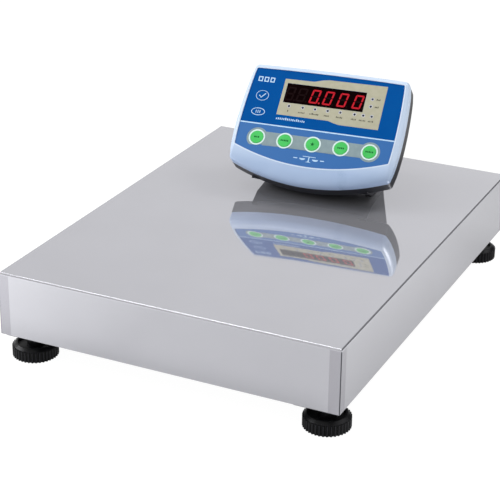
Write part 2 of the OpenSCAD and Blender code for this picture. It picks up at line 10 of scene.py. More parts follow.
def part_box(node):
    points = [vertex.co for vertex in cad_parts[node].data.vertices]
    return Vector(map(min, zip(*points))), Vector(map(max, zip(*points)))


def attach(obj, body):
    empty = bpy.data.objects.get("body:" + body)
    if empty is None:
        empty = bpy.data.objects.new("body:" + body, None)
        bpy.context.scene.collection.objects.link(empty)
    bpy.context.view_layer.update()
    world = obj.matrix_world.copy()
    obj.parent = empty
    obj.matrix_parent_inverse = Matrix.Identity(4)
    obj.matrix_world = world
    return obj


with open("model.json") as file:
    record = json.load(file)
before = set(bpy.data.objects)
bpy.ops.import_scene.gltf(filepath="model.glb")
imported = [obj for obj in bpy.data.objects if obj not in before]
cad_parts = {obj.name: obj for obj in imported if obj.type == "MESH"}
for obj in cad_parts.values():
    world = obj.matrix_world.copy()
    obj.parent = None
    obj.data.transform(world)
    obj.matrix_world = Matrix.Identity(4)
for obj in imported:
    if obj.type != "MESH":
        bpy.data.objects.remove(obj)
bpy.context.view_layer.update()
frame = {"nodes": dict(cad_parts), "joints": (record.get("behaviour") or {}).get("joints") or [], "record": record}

nodes = frame["nodes"]
mm = 0.001
print("frame loaded:", len(nodes), "nodes")


# where the terminal's face lies: along it, up it and out of it, with the middle key at the origin

def middleOf(name):
    low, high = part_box(name)
    return (Vector(low) + Vector(high)) / 2


def jointAxis(name):
    return Vector(next(j["axis"] for j in frame["joints"] if j["name"] == name)).normalized()


ringThickness = 0.35
outOfFace = -jointAxis("key_3_press")
alongFace = (middleOf("key_5") - middleOf("key_1")).normalized()
upFace = outOfFace.cross(alongFace).normalized()
faceOrigin = middleOf("key_rings") - outOfFace * ringThickness * mm / 2
faceMatrix = Matrix((alongFace, upFace, outOfFace)).transposed().to_4x4()
faceMatrix.translation = faceOrigin
keyPitch = (middleOf("key_5") - middleOf("key_1")).length / 4 / mm
windowMiddle = faceMatrix.inverted() @ middleOf("display_window") / mm

panLow, panHigh = (Vector(c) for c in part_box("pan"))


# camera

cameraSet = {
    "place": (0.792, -1.731, 0.9175),
    "turn": 25.42,       # towards -X from +Y
    "dip": 23.88,
    "roll": 0.67,
    "lens": 113.6,       # mm, on a sensor that is 36 mm wide
    "sensor": 36,
    "clip": (0.05, 60),
}


def makeCamera():
    turn, dip, roll = (math.radians(cameraSet[k]) for k in ("turn", "dip", "roll"))
    ahead = Vector((-math.sin(turn) * math.cos(dip), math.cos(turn) * math.cos(dip), -math.sin(dip)))
    right = Vector((math.cos(turn), math.sin(turn), 0))
    up = right.cross(ahead)
    side = math.cos(roll) * right + math.sin(roll) * up
    top = -math.sin(roll) * right + math.cos(roll) * up
    data = bpy.data.cameras.new("camera")
    data.lens = cameraSet["lens"]
    data.sensor_width = cameraSet["sensor"]
    data.clip_start, data.clip_end = cameraSet["clip"]
    camera = bpy.data.objects.new("camera", data)
    camera.matrix_world = Matrix((side, top, -ahead)).transposed().to_4x4()
    camera.location = cameraSet["place"]
    bpy.context.scene.collection.objects.link(camera)
    bpy.context.scene.camera = camera


makeCamera()
print("camera made")


# materials

def hexLinear(code):
    parts = [int(code[i:i + 2], 16) / 255 for i in (1, 3, 5)]
    return [p / 12.92 if p <= 0.04045 else ((p + 0.055) / 1.055) ** 2.4 for p in parts] + [1.0]


def addNode(tree, kind, sockets={}, stops=None, **settings):
    node = tree.nodes.new("ShaderNode" + kind)
    for name, value in settings.items():
        setattr(node, name, value)
    for socket, value in sockets.items():
        if isinstance(value, bpy.types.NodeSocket):
            tree.links.new(value, node.inputs[socket])
        else:
            node.inputs[socket].default_value = value
    if stops:
        ramp = node.color_ramp
        while len(ramp.elements) < len(stops):
            ramp.elements.new(1)
        for element, (place, colour) in zip(ramp.elements, stops):
            element.position = place
            element.color = hexLinear(colour) if isinstance(colour, str) else (colour, colour, colour, 1)
    return node


def mapped(tree, value, low, high, first=0.0, last=1.0):
    # a value that runs from low to high, turned into one that runs from first to last
    return addNode(tree, "MapRange", {"Value": value, "From Min": low, "From Max": high,
                                      "To Min": first, "To Max": last}).outputs[0]


def mixedColour(tree, amount, first, second):
    return addNode(tree, "Mix", {"Factor": amount, 6: first, 7: second}, data_type="RGBA").outputs[2]


def multiplied(tree, a, b):
    return addNode(tree, "Math", {0: a, 1: b}, operation="MULTIPLY").outputs[0]


noiseSpan = (0.3, 0.7)  # the part of its range that a noise texture mostly fills
grainShare = 0.35       # how much the fine grain adds to the roughness of the larger patches


def toned(tree, amount, dark, light, span=noiseSpan):
    return addNode(tree, "ValToRGB", {"Fac": amount}, stops=[(span[0], dark), (span[1], light)]).outputs[0]


def newFinish(name, sockets):
    material = bpy.data.materials.new(name)
    material.use_nodes = True
    shader = material.node_tree.nodes["Principled BSDF"]
    for socket, value in sockets.items():
        shader.inputs[socket].default_value = hexLinear(value) if isinstance(value, str) else value
    return material, material.node_tree, shader


def perMetre(size):
    return 1000 / size  # texture scale for a feature of that many millimetres


def objectPlace(tree):
    return addNode(tree, "TexCoord").outputs["Object"]


def facePlace(tree):  # millimetres along, up and out of the terminal's face
    turned = addNode(tree, "Mapping", {
        "Vector": objectPlace(tree),
        "Location": faceMatrix.translation,
        "Rotation": faceMatrix.to_euler("XYZ"),
        "Scale": (mm, mm, mm),
    }, vector_type="TEXTURE")
    return turned.outputs[0]


def grained(tree, shader, size, depth, patch, stretch=(1, 1, 1), colours=None, rough=None, place=None):
    # size: the grain in mm; depth: its height in mm; patch: the size in mm of the larger patches,
    # over which the colours and the roughness run between their two ends
    place = place or objectPlace(tree)
    scaled = addNode(tree, "Mapping", {"Vector": place, "Scale": stretch}).outputs[0]
    grain = addNode(tree, "TexNoise", {"Vector": scaled, "Scale": perMetre(size), "Detail": 3.0,
                                       "Roughness": 0.6})
    bump = addNode(tree, "Bump", {"Height": grain.outputs["Fac"], "Distance": depth * mm, "Strength": 1.0})
    tree.links.new(bump.outputs[0], shader.inputs["Normal"])
    patches = addNode(tree, "TexNoise", {"Vector": place, "Scale": perMetre(patch), "Detail": 4.0})
    if colours:
        tree.links.new(toned(tree, patches.outputs["Fac"], *colours), shader.inputs["Base Color"])
    if rough:
        both = {"Factor": grainShare, 2: patches.outputs["Fac"], 3: grain.outputs["Fac"]}
        amount = addNode(tree, "Mix", both).outputs[0]
        tree.links.new(mapped(tree, amount, *noiseSpan, *rough), shader.inputs["Roughness"])
    return grain, patches


steelSet = {
    "light": "#d5d5db",
    "dark": "#d2d2d8",
    "weld": "#c0bfc6",
    "seam": "#4c4d52",
    "metallic": 0.74,
    "roughness": (0.03, 0.05),
    "duller": 0.12,         # roughness that hand grinding adds on the strips
    "brushLine": 0.5,       # the real lines are 0.05 mm apart, drawn this coarse so that they show
    "brushDepth": 0.0002,
    "brushLong": 0.02,      # how much finer the grain is across the lines than along them
    "stripFront": 14.5,     # width of the ground strip beside each corner seam, on the short sides
    "stripSide": 14.0,
    "seamWide": 1.0,
    "wall": 1.6,            # a point this near an outer side lies on that side's sheet
    "soft": 0.4,            # width over which one of these areas fades into the next
    "stripTop": (3.4, 2.4), # the strips end between these depths under the pan's top
}


def stainlessBrushed():
    # 304 stainless sheet, finely ground and polished over: a mirror with a soft grey veil,
    # which gives clear but pale reflections; the welded corners are ground by hand and stay duller
    material, tree, shader = newFinish("stainlessFineGround", {
        "Metallic": steelSet["metallic"], "Specular IOR Level": 0.4})
    place = objectPlace(tree)
    patches = grained(tree, shader, steelSet["brushLine"], steelSet["brushDepth"], patch=90, place=place,
                      stretch=(1, steelSet["brushLong"], 1), rough=steelSet["roughness"])[1]
    xyz = addNode(tree, "SeparateXYZ", {"Vector": place}).outputs
    across, along = (addNode(tree, "Math", {0: xyz[i]}, operation="ABSOLUTE").outputs[0] for i in (0, 1))
    half = (panHigh - panLow) / 2

    def beyond(value, whole, inset):
        edge, soft = whole - inset * mm, steelSet["soft"] * mm / 2
        return mapped(tree, value, edge - soft, edge + soft)

    wall, wide = steelSet["wall"], steelSet["seamWide"]
    below = mapped(tree, xyz[2], *(panHigh.z - depth * mm for depth in steelSet["stripTop"]), 1.0, 0.0)
    onShort = multiplied(tree, beyond(across, half.x, steelSet["stripFront"]), beyond(along, half.y, wall))
    onLong = multiplied(tree, beyond(along, half.y, steelSet["stripSide"]), beyond(across, half.x, wall))
    either = addNode(tree, "Math", {0: onShort, 1: onLong}, operation="MAXIMUM").outputs[0]
    strip = multiplied(tree, either, below)
    corner = multiplied(tree, beyond(across, half.x, wide), beyond(along, half.y, wide))
    sheet = toned(tree, patches.outputs["Fac"], steelSet["dark"], steelSet["light"])
    ground = mixedColour(tree, strip, sheet, hexLinear(steelSet["weld"]))
    seamed = mixedColour(tree, multiplied(tree, corner, below), ground, hexLinear(steelSet["seam"]))
    tree.links.new(seamed, shader.inputs["Base Color"])
    plain = shader.inputs["Roughness"].links[0].from_socket
    summed = addNode(tree, "Math", {0: plain, 1: mapped(tree, strip, 0.0, 1.0, 0.0, steelSet["duller"])},
                     operation="ADD")
    tree.links.new(summed.outputs[0], shader.inputs["Roughness"])
    return material


caseSet = {
    "light": "#abc0de",
    "dark": "#a5bbdb",
    "pale": "#c9daf0",      # the tone up the face, picked to stand in for softer light from above
    "paleFrom": -36.0, "paleTo": -4.0,  # mm up the face from the keys' row
    "roughness": (0.24, 0.34),
    "texture": 0.8,         # spark-eroded mould texture, really 0.15 mm, drawn as coarse as it shows
}


def caseMoulded():
    # ABS, injection moulded in pale blue with a fine satin mould texture: soft highlights on the round edges
    material, tree, shader = newFinish("absPaleBlueMoulded", {"IOR": 1.53, "Specular IOR Level": 0.5})
    grained(tree, shader, caseSet["texture"], 0.004, colours=(caseSet["dark"], caseSet["light"]),
            rough=caseSet["roughness"], patch=40)
    fresh = shader.inputs["Base Color"].links[0].from_socket
    up = addNode(tree, "SeparateXYZ", {"Vector": facePlace(tree)}).outputs[1]
    paled = mapped(tree, up, caseSet["paleFrom"], caseSet["paleTo"])
    tree.links.new(mixedColour(tree, paled, fresh, hexLinear(caseSet["pale"])), shader.inputs["Base Color"])
    return material


beadSet = {
    "inner": 0.3, "outer": 1.9,  # mm outside the film's outline
    "low": 0.78, "high": 0.83,   # mm out of the face
    # the strip's two tones are a painted highlight
    "light": "#d9e5f4", "dark": "#d1dff1",
}


def lipPaintedHighlight():
    # the same pale ABS, drawn lighter and glossier by choice: a painted highlight, so that the lip reads as a
    # bright line
    material, tree, shader = newFinish("absPaleBluePaintedHighlight", {"IOR": 1.53, "Specular IOR Level": 0.5})
    grained(tree, shader, 0.8, 0.002, colours=(beadSet["dark"], beadSet["light"]),
            rough=(0.12, 0.2), patch=30)
    return material


def blackMoulded():
    # ABS, injection moulded in black with a leathery satin texture: dark, with a broad dim sheen
    material, tree, shader = newFinish("absBlackMoulded", {"IOR": 1.53, "Specular IOR Level": 0.45})
    grained(tree, shader, 0.9, 0.012, colours=("#1e1f26", "#28292f"), rough=(0.34, 0.48), patch=35)
    return material


def plasticBlack():
    # polyethylene caps and small black moulded parts: waxy, a little greyer than the case
    material, tree, shader = newFinish("polyethyleneBlackMoulded", {"IOR": 1.51, "Specular IOR Level": 0.4})
    grained(tree, shader, 0.7, 0.008, colours=("#17171a", "#1f2023"), rough=(0.42, 0.58), patch=20)
    return material


knobSet = {
    "ribs": 38,
    # the first two tones are painted shade in the hollows between the ribs and a painted highlight on the ribs
    "groove": "#050506", "ridge": "#1f1f23",
    "dust": "#1b1b1f", "plain": "#0c0c0e",
    "wall": (26.6, 27.4),   # radius in mm at which the top face gives way to the ribs
}


def nylonMoulded(foot):
    # glass-filled nylon hand wheels: nearly black; round the side, painted shade darkens the hollows between the
    # ribs and a painted highlight lightens the ribs
    material, tree, shader = newFinish(f"nylonGlassFilledMoulded_{foot}",
                                       {"IOR": 1.53, "Specular IOR Level": 0.22})
    place = objectPlace(tree)
    patches = grained(tree, shader, 0.8, 0.006, rough=(0.3, 0.42), patch=12, place=place)[1]
    outward = addNode(tree, "VectorMath", {0: place, 1: middleOf(f"foot_knob_{foot}")}, operation="SUBTRACT")
    xyz = addNode(tree, "SeparateXYZ", {"Vector": outward.outputs[0]})
    turn = addNode(tree, "Math", {0: xyz.outputs[1], 1: xyz.outputs[0]}, operation="ARCTAN2")
    wave = addNode(tree, "Math", {0: multiplied(tree, turn.outputs[0], float(knobSet["ribs"]))},
                   operation="COSINE")
    ribShading = toned(tree, mapped(tree, wave.outputs[0], -1.0, 1.0),
                   knobSet["groove"], knobSet["ridge"], (0.35, 0.85))
    dusty = toned(tree, patches.outputs["Fac"], knobSet["plain"], knobSet["dust"], (0.45, 0.8))
    away = addNode(tree, "VectorMath", {0: outward.outputs[0], 1: (1, 1, 0)}, operation="MULTIPLY")
    reach = addNode(tree, "VectorMath", {0: away.outputs[0]}, operation="LENGTH")
    wall = mapped(tree, reach.outputs["Value"], *(r * mm for r in knobSet["wall"]))
    tree.links.new(mixedColour(tree, wall, dusty, ribShading), shader.inputs["Base Color"])
    return material


def rubberMoulded():
    # nitrile rubber: deep matt black with a fine bloom
    material, tree, shader = newFinish("nitrileRubberMoulded", {"IOR": 1.52, "Specular IOR Level": 0.25})
    grained(tree, shader, 0.6, 0.012, colours=("#0f0f11", "#191a1b"), rough=(0.62, 0.8), patch=15)
    return material


def powderCoated():
    # mild steel tube, powder coated in dark grey: an even orange-peel texture about 2 mm apart
    material, tree, shader = newFinish("mildSteelPowderCoated", {"IOR": 1.5, "Specular IOR Level": 0.45})
    grained(tree, shader, 2.0, 0.03, colours=("#3f4245", "#4a4d50"), rough=(0.32, 0.46), patch=60)
    return material


def zincPlated():
    # steel, barrel plated with bright zinc: bluish white metal, cloudy where parts rubbed in the barrel
    material, tree, shader = newFinish("steelZincPlated", {"Metallic": 1.0})
    grained(tree, shader, 0.5, 0.003, colours=("#a9adb2", "#c9ccd0"), rough=(0.2, 0.36), patch=6)
    return material


def aluminiumAnodised():
    # 2024 aluminium block, milled and clear anodised: milling lines along the beam
    material, tree, shader = newFinish("aluminiumMilledAnodised", {"Metallic": 1.0})
    grained(tree, shader, 0.8, 0.004, stretch=(1, 0.03, 1), colours=("#b6b9bd", "#c6c8cb"),
            rough=(0.3, 0.42), patch=25)
    return material


filmSet = {
    "upper": "#01519a",
    "upperDeep": "#014d96",
    "lower": "#3f6fac",
    "lowerPale": "#4573af",
    "split": 20.2,          # mm up the face where the two blues meet
    "half": 105.0,          # the lower blue fades across the face between these distances from the middle
    "roughness": (0.2, 0.28),
}


def filmPrinted():
    # polycarbonate film, screen printed on its back: colour under a smooth, slightly textured gloss
    material, tree, shader = newFinish("polycarbonateFilmPrinted", {"IOR": 1.58, "Specular IOR Level": 0.04})
    place = facePlace(tree)
    patches = grained(tree, shader, 0.6, 0.0012, rough=filmSet["roughness"], patch=30)[1]
    xyz = addNode(tree, "SeparateXYZ", {"Vector": place}).outputs
    lower = mapped(tree, xyz[1], filmSet["split"] - 0.2, filmSet["split"] + 0.2, 1.0, 0.0)
    top = toned(tree, patches.outputs["Fac"], filmSet["upperDeep"], filmSet["upper"])
    fade = mapped(tree, xyz[0], -filmSet["half"], filmSet["half"])
    low = toned(tree, fade, filmSet["lowerPale"], filmSet["lower"], (0.0, 1.0))
    tree.links.new(mixedColour(tree, lower, top, low), shader.inputs["Base Color"])
    return material


def inkPrinted(name, dark, light):
    # screen-printed ink under the film: even, with the faint mottle of the mesh
    material, tree, shader = newFinish(name, {"IOR": 1.58, "Specular IOR Level": 0.1})
    grained(tree, shader, 0.6, 0.0012, colours=(dark, light), rough=(0.22, 0.32), patch=8)
    return material


def acrylicDark():
    # cast acrylic filter in very dark red: almost black until a segment behind it lights
    material, tree, shader = newFinish("acrylicDarkRedCast", {"IOR": 1.49, "Specular IOR Level": 0.02})
    grained(tree, shader, 6.0, 0.0006, colours=("#090102", "#0e0203"), rough=(0.06, 0.1), patch=30)
    return material


def segmentFinish(name, body, deep, bright, glow):
    # diffusing epoxy in a display segment; a lit one glows, a little less where the chip's light falls off, and an
    # unlit one is given a faint painted glow
    material, tree, shader = newFinish(name, {"Base Color": body, "IOR": 1.5, "Specular IOR Level": 0.05})
    patches = grained(tree, shader, 0.5, 0.001, rough=(0.3, 0.45), patch=3)[1]
    tree.links.new(toned(tree, patches.outputs["Fac"], deep, bright), shader.inputs["Emission Color"])
    shader.inputs["Emission Strength"].default_value = glow
    return material


def epoxyCast():
    # black potting epoxy: smooth, slightly wavy gloss
    material, tree, shader = newFinish("epoxyBlackCast", {"IOR": 1.55, "Specular IOR Level": 0.4})
    grained(tree, shader, 2.5, 0.01, colours=("#0c0c12", "#15151c"), rough=(0.2, 0.34), patch=6)
    return material


def boardMasked():
    # glass-epoxy circuit board under green solder mask: tracks show as paler ridges every 2.5 mm
    material, tree, shader = newFinish("glassEpoxySolderMask", {"IOR": 1.55, "Specular IOR Level": 0.5})
    for node in grained(tree, shader, 0.8, 0.004, rough=(0.22, 0.36), patch=12, place=facePlace(tree)):
        node.inputs["Scale"].default_value /= 1000  # this place is in millimetres already
    cells = addNode(tree, "TexVoronoi", {"Vector": facePlace(tree), "Scale": 1 / 2.5},
                    feature="DISTANCE_TO_EDGE")
    tracks = addNode(tree, "ValToRGB", {"Fac": cells.outputs["Distance"]},
                     stops=[(0.05, "#2f7a45"), (0.12, "#14532c"), (0.9, "#0f4524")])
    tree.links.new(tracks.outputs[0], shader.inputs["Base Color"])
    return material


def keyMoulded():
    # silicone-feel ABS caps in signal green: glossy with a soft edge
    material, tree, shader = newFinish("absGreenMoulded", {"IOR": 1.53, "Specular IOR Level": 0.4})
    grained(tree, shader, 0.9, 0.003, colours=("#3fbe58", "#49c862"), rough=(0.26, 0.36), patch=12)
    return material


def rockerMoulded():
    # nylon rocker in translucent red: glossy
    material, tree, shader = newFinish("nylonRedMoulded", {"IOR": 1.53, "Specular IOR Level": 0.5})
    grained(tree, shader, 0.8, 0.003, colours=("#8c1414", "#a51c1a"), rough=(0.16, 0.26), patch=6)
    return material


vialSet = {
    "bubble": (1.2, 0.8),  # mm off the middle, to the right and to the rear
    "radius": 11,
    "rings": [(0.3, "#e2ef9a"), (0.36, "#5c7a17"), (0.42, "#b7d334"), (0.58, "#b7d334"),
              (0.61, "#23300c"), (0.65, "#a8c52c"), (1.0, "#8fae22")],
}


def vialClear():
    # acrylic level vial with green spirit in it: clear gloss over a bright liquid, a bubble and its ring
    material, tree, shader = newFinish("acrylicVialSpirit", {
        "IOR": 1.49, "Coat Weight": 0.6, "Coat Roughness": 0.04})
    place = objectPlace(tree)
    grained(tree, shader, 3.0, 0.002, rough=(0.05, 0.1), patch=8, place=place)
    middle = middleOf("level_vial")
    right, rear = (offset * mm for offset in vialSet["bubble"])
    bubble = (middle.x + right, middle.y + rear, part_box("level_vial")[1][2])
    away = addNode(tree, "VectorMath", {0: place, 1: bubble}, operation="DISTANCE").outputs["Value"]
    shade = addNode(tree, "ValToRGB", {"Fac": mapped(tree, away, 0.0, vialSet["radius"] * mm)},
                    stops=vialSet["rings"])
    tree.links.new(shade.outputs[0], shader.inputs["Base Color"])
    return material


def batteryMoulded():
    # sealed lead-acid battery: ABS box in dark grey
    material, tree, shader = newFinish("absBatteryMoulded", {"IOR": 1.53, "Specular IOR Level": 0.4})
    grained(tree, shader, 1.0, 0.01, colours=("#34383e", "#3f444a"), rough=(0.4, 0.55), patch=20)
    return material


finishes = {
    "stainless_sheet": stainlessBrushed(),
    "rubber": rubberMoulded(),
    "frame_paint": powderCoated(),
    "zinc_plate": zincPlated(),
    "cell_aluminium": aluminiumAnodised(),
    "black_plastic": plasticBlack(),
    "vial_glass": vialClear(),
    "case_blue": caseMoulded(),
    "case_black": blackMoulded(),
    "overlay_film": filmPrinted(),
    "window_acrylic": acrylicDark(),
    "display_epoxy": epoxyCast(),
    "circuit_board": boardMasked(),
    "ring_white": inkPrinted("inkWhitePrinted", "#d6ece7", "#e0f5f0"),
    "key_green": keyMoulded(),
    "battery_case": batteryMoulded(),
    "rocker_red": rockerMoulded(),
}
for part in frame["record"]["subparts"]:
    name, slotName = part["node"], part["material_slot"]
    mesh = nodes[name].data
    mesh.materials.clear()
    mesh.materials.append(nylonMoulded(int(name[-1])) if slotName == "knob_nylon" else finishes[slotName])
print("materials made:", len(finishes))


# soft edges on the CAD pieces, as moulding, folding and tumbling leave them

edgeSet = {  # radius in mm
    "pan": 0.25, "pan_cushions": 0.6,
    "upper_side_rails": 1.5, "upper_cross_rails": 1.5, "upper_end_caps": 0.8, "upper_plate": 0.5,
    "upper_spacer": 0.3, "upper_cell_bolts": 0.3, "load_cell": 0.4,
    "lower_cell_bolts": 0.3, "lower_spacer": 0.3, "lower_plate": 0.5,
    "base_side_rails": 1.5, "base_cross_rails": 1.5, "base_end_caps": 0.8, "foot_brackets": 0.6,
    "lock_nuts": 0.4, "overload_screws": 0.3, "overload_nuts": 0.3,
    "level_holder": 0.6, "level_vial": 0.3, "cable_gland": 0.3,
    "foot_knob": 0.14, "foot_stud": 0.4, "foot_sole": 0.5,
    "front_case": 0.35, "rear_case": 0.7, "stand_shell": 1.2, "case_screws": 0.2, "terminal_feet": 0.3,
    "face_overlay": 0.05, "display_window": 0.1, "led_display": 0.3, "display_board": 0.15,
    "status_leds": 0.1, "key": 0.35, "key_rings": 0.12, "key_switches": 0.2, "key_board": 0.15,
    "main_board": 0.15, "battery": 1.0, "battery_door": 0.4,
    "switch_frame": 0.4, "power_rocker": 0.3, "dc_jack": 0.3, "cell_socket": 0.3,
}
softSet = {
    "weld": 0.004,  # mm: points nearer than this are one
    "flat": 0.4,    # degrees: faces nearer than this are one flat
    "sharp": 32,    # degrees: edges sharper than this are rounded
    "steps": 2,
}


def soften(node, radius):
    piece = nodes[node]
    mesh = piece.data
    if mesh.has_custom_normals:
        with bpy.context.temp_override(object=piece, active_object=piece):
            bpy.ops.mesh.customdata_custom_splitnormals_clear()
    mesh.shade_smooth()
    weld = piece.modifiers.new("weld", "WELD")
    weld.merge_threshold = softSet["weld"] * mm
    flat = piece.modifiers.new("flat", "DECIMATE")
    flat.decimate_type = "DISSOLVE"
    flat.angle_limit = math.radians(softSet["flat"])
    edge = piece.modifiers.new("edge", "BEVEL")
    edge.width = radius * mm
    edge.segments = softSet["steps"]
    edge.limit_method = "ANGLE"
    edge.angle_limit = math.radians(softSet["sharp"])
    edge.harden_normals = True
    edge.miter_outer = "MITER_ARC"


for name in nodes:
    kind = name if name in edgeSet else name.rsplit("_", 1)[0]
    soften(name, edgeSet[kind])
print("edges softened:", len(nodes))


# thin printed pieces on the face

def thinPiece(name, body, loops, low, high, finish, slot):
    # loops: an outline and its holes, in mm; low and high: its depth in mm
    flat = [[Vector((p[0], p[1], 0)) for p in loop] for loop in loops]
    triangles = geometry.tessellate_polygon(flat)
    points = [p for loop in flat for p in loop]
    verts = [faceMatrix @ (Vector((p.x, p.y, z)) * mm) for z in (low, high) for p in points]
    count = len(points)
    faces = []
    for a, b, c in triangles:
        normal = (points[b] - points[a]).cross(points[c] - points[a]).z
        if abs(normal) < 1e-9:
            continue
        if normal < 0:
            b, c = c, b
        faces.append((a + count, b + count, c + count))
        faces.append((a, c, b))
    start = 0
    for i, loop in enumerate(flat):
        n = len(loop)
        area = sum(loop[k].x * loop[(k + 1) % n].y - loop[(k + 1) % n].x * loop[k].y for k in range(n))
        turn = (area > 0) == (i == 0)
        for k in range(n):
            a, b = start + k, start + (k + 1) % n
            faces.append((a, b, b + count, a + count) if turn else (b, a, a + count, b + count))
        start += n
    mesh = bpy.data.meshes.new(name)
    mesh.from_pydata(verts, [], faces)
    mesh.update()
    mesh.materials.append(finish)
    piece = bpy.data.objects.new(name, mesh)
    bpy.context.scene.collection.objects.link(piece)
    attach(piece, body)


def disc(u, v, r, n, wide=1.0):
    turns = [2 * math.pi * i / n for i in range(n)]
    return [(u + r * wide * math.cos(a), v + r * math.sin(a)) for a in turns]


def bar(u, v, w, h):
    return [(u - w / 2, v - h / 2), (u + w / 2, v - h / 2), (u + w / 2, v + h / 2), (u - w / 2, v + h / 2)]


def stroke(points, width):
    # a line of that width through the points, as one closed outline
    left, right = [], []
    for i, p in enumerate(points):
        p = Vector(p)
        a = Vector(points[max(i - 1, 0)])
        b = Vector(points[min(i + 1, len(points) - 1)])
        along = (b - a).normalized()
        side = Vector((-along.y, along.x)) * width / 2
        left.append(tuple(p + side))
        right.append(tuple(p - side))
    return left + right[::-1]


printSet = {
    "panel": [(-61, 91), (-20, 91.6), (-8, 95.2), (1, 96.6), (82.5, 97.2),
              (83, 33), (29, 33), (21, 34.4), (12.5, 37), (-61, 37)],
    "panelDark": "#b1ae97", "panelLight": "#b6b39d",
    "bandHeight": 19.4, "bandEnd": 14.4, "ringRadius": 11.5,
    "bandDark": "#889a9f", "bandLight": "#8ea0a4",
    "lineHalf": 108.6, "lineLow": 19.3, "lineHigh": 21.1,
    "windowHole": (112.6, 29.2),
    "halo": (2.45, 1.66, 1.62),  # its outer and inner radius, and the hole in the panel's ink
    "ledRow": 51.3,
    "leds": [-46.4, -26.8, -9.2, 8.6, 26.5, 46.4, 58.6, 70.3],
    "ledSide": [(65.6, 65.6), (65.6, 76.5)],
    "labels": [2.6, 9.5, 13.0, 6.8, 9.5, 7.6, 9.5, 6.8],
    "labelRow": 44.0, "labelTall": 2.5, "sideGap": 8.3, "sideLabel": 5.0,
    "unitLine": (-39.5, 31.6, 42, 3.6),
}
panelInk = inkPrinted("inkStoneGreyPrinted", printSet["panelDark"], printSet["panelLight"])
bandInk = inkPrinted("inkSlateGreyPrinted", printSet["bandDark"], printSet["bandLight"])
paleInk = inkPrinted("inkPaleBluePrinted", "#b4d4ee", "#c2def4")
labelInk = inkPrinted("inkDarkGreyPrinted", "#1e1f1b", "#292a24")
haloInk = inkPrinted("inkSilverPrinted", "#c6c8d2", "#d2d4dd")
iconInk = inkPrinted("inkDeepGreenPrinted", "#14622c", "#1b6e34")
onFilm = (0.0, 0.03)    # depth of an ink that lies on the film, in mm
onInk = (0.032, 0.06)   # and of one that lies on another ink
labelThick = 0.02


def printed(name, loops, finish, depth=onFilm):
    thinPiece(name, "terminal", loops, *depth, finish, "overlay_film")


def printFace():
    window = bar(windowMiddle.x, windowMiddle.y, *printSet["windowHole"])
    lamps = [(u, printSet["ledRow"]) for u in printSet["leds"]] + printSet["ledSide"]
    outer, inner, hole = printSet["halo"]
    printed("stonePanel", [printSet["panel"], window] + [disc(u, v, hole, 24) for u, v in lamps], panelInk)
    for i, (u, v) in enumerate(lamps):
        printed(f"ledHalo_{i + 1}", [disc(u, v, outer, 32), disc(u, v, inner, 24)], haloInk, onInk)
    end = printSet["bandEnd"]
    reach = 2 * keyPitch
    neck = math.asin(printSet["bandHeight"] / 2 / end)
    band = []
    for centre, start in ((reach, -math.pi + neck), (-reach, neck)):
        for i in range(41):
            a = start + (2 * math.pi - 2 * neck) * i / 40
            band.append((centre + end * math.cos(a), end * math.sin(a)))
    holes = [disc(k * keyPitch, 0, printSet["ringRadius"] + 0.02, 64) for k in range(-2, 3)]
    printed("keyBand", [band] + holes, bandInk)
    half, low, high = (printSet[k] for k in ("lineHalf", "lineLow", "lineHigh"))
    printed("fieldLine", [[(-half, low), (half, low), (half, high), (-half, high)]], paleInk)


def filmOutline():
    # the overlay's own outline, in mm along and up the face, read from its front surface
    shape = bmesh.new()
    shape.from_mesh(nodes["face_overlay"].data)
    shape.transform(faceMatrix.inverted() @ nodes["face_overlay"].matrix_world)
    bmesh.ops.remove_doubles(shape, verts=shape.verts, dist=0.01 * mm)
    shape.normal_update()
    front = max(v.co.z for v in shape.verts)
    top = {f for f in shape.faces if f.normal.z > 0.9 and min(v.co.z for v in f.verts) > front - 0.1 * mm}
    rim = {e for e in shape.edges if sum(f in top for f in e.link_faces) == 1}
    loops = []
    while rim:
        edge = min(rim, key=lambda e: e.index)
        rim.remove(edge)
        first, at = edge.verts
        loop = [first, at]
        while at is not first:
            edge = next(e for e in at.link_edges if e in rim)
            rim.remove(edge)
            at = edge.other_vert(at)
            loop.append(at)
        loops.append([(v.co.x / mm, v.co.y / mm) for v in loop[:-1]])
    shape.free()
    return max(loops, key=lambda one: max(q[0] for q in one) - min(q[0] for q in one))


def grown(loop, out):
    # the same outline moved outwards all round
    area = sum(a[0] * b[1] - b[0] * a[1] for a, b in zip(loop, loop[1:] + loop[:1]))
    done = []
    for before, here, after in zip(loop[-1:] + loop[:-1], loop, loop[1:] + loop[:1]):
        sides = [Vector((q[1] - p[1], p[0] - q[0])).normalized() for p, q in ((before, here), (here, after))]
        aim = (sides[0] + sides[1]).normalized()
        push = out / max(aim.dot(sides[0]), 0.5) * (1 if area > 0 else -1)
        done.append((here[0] + aim.x * push, here[1] + aim.y * push))
    return done


def makeBead():
    # a thin pale strip along the lip round the film: it stands in for the highlight on the lip's rounded edge
    outline = filmOutline()
    thinPiece("filmLip", "terminal", [grown(outline, beadSet["outer"]), grown(outline, beadSet["inner"])],
              beadSet["low"], beadSet["high"], lipPaintedHighlight(), "case_blue")


def dashes(u, v, length, height, seed, finish, tag, step=1.9, low=onInk[0]):
    # a row of small upright dashes, in place of a label
    rng = random.Random(seed)
    count = max(1, round(length / step))
    for i in range(count):
        tall = height * rng.choice((1.0, 0.8, 0.8, 0.62))
        at = u + (i - (count - 1) / 2) * step
        printed(f"{tag}_{i + 1}", [bar(at, v - (height - tall) / 2, step * rng.uniform(0.46, 0.62), tall)],
                finish, (low, low + labelThick))


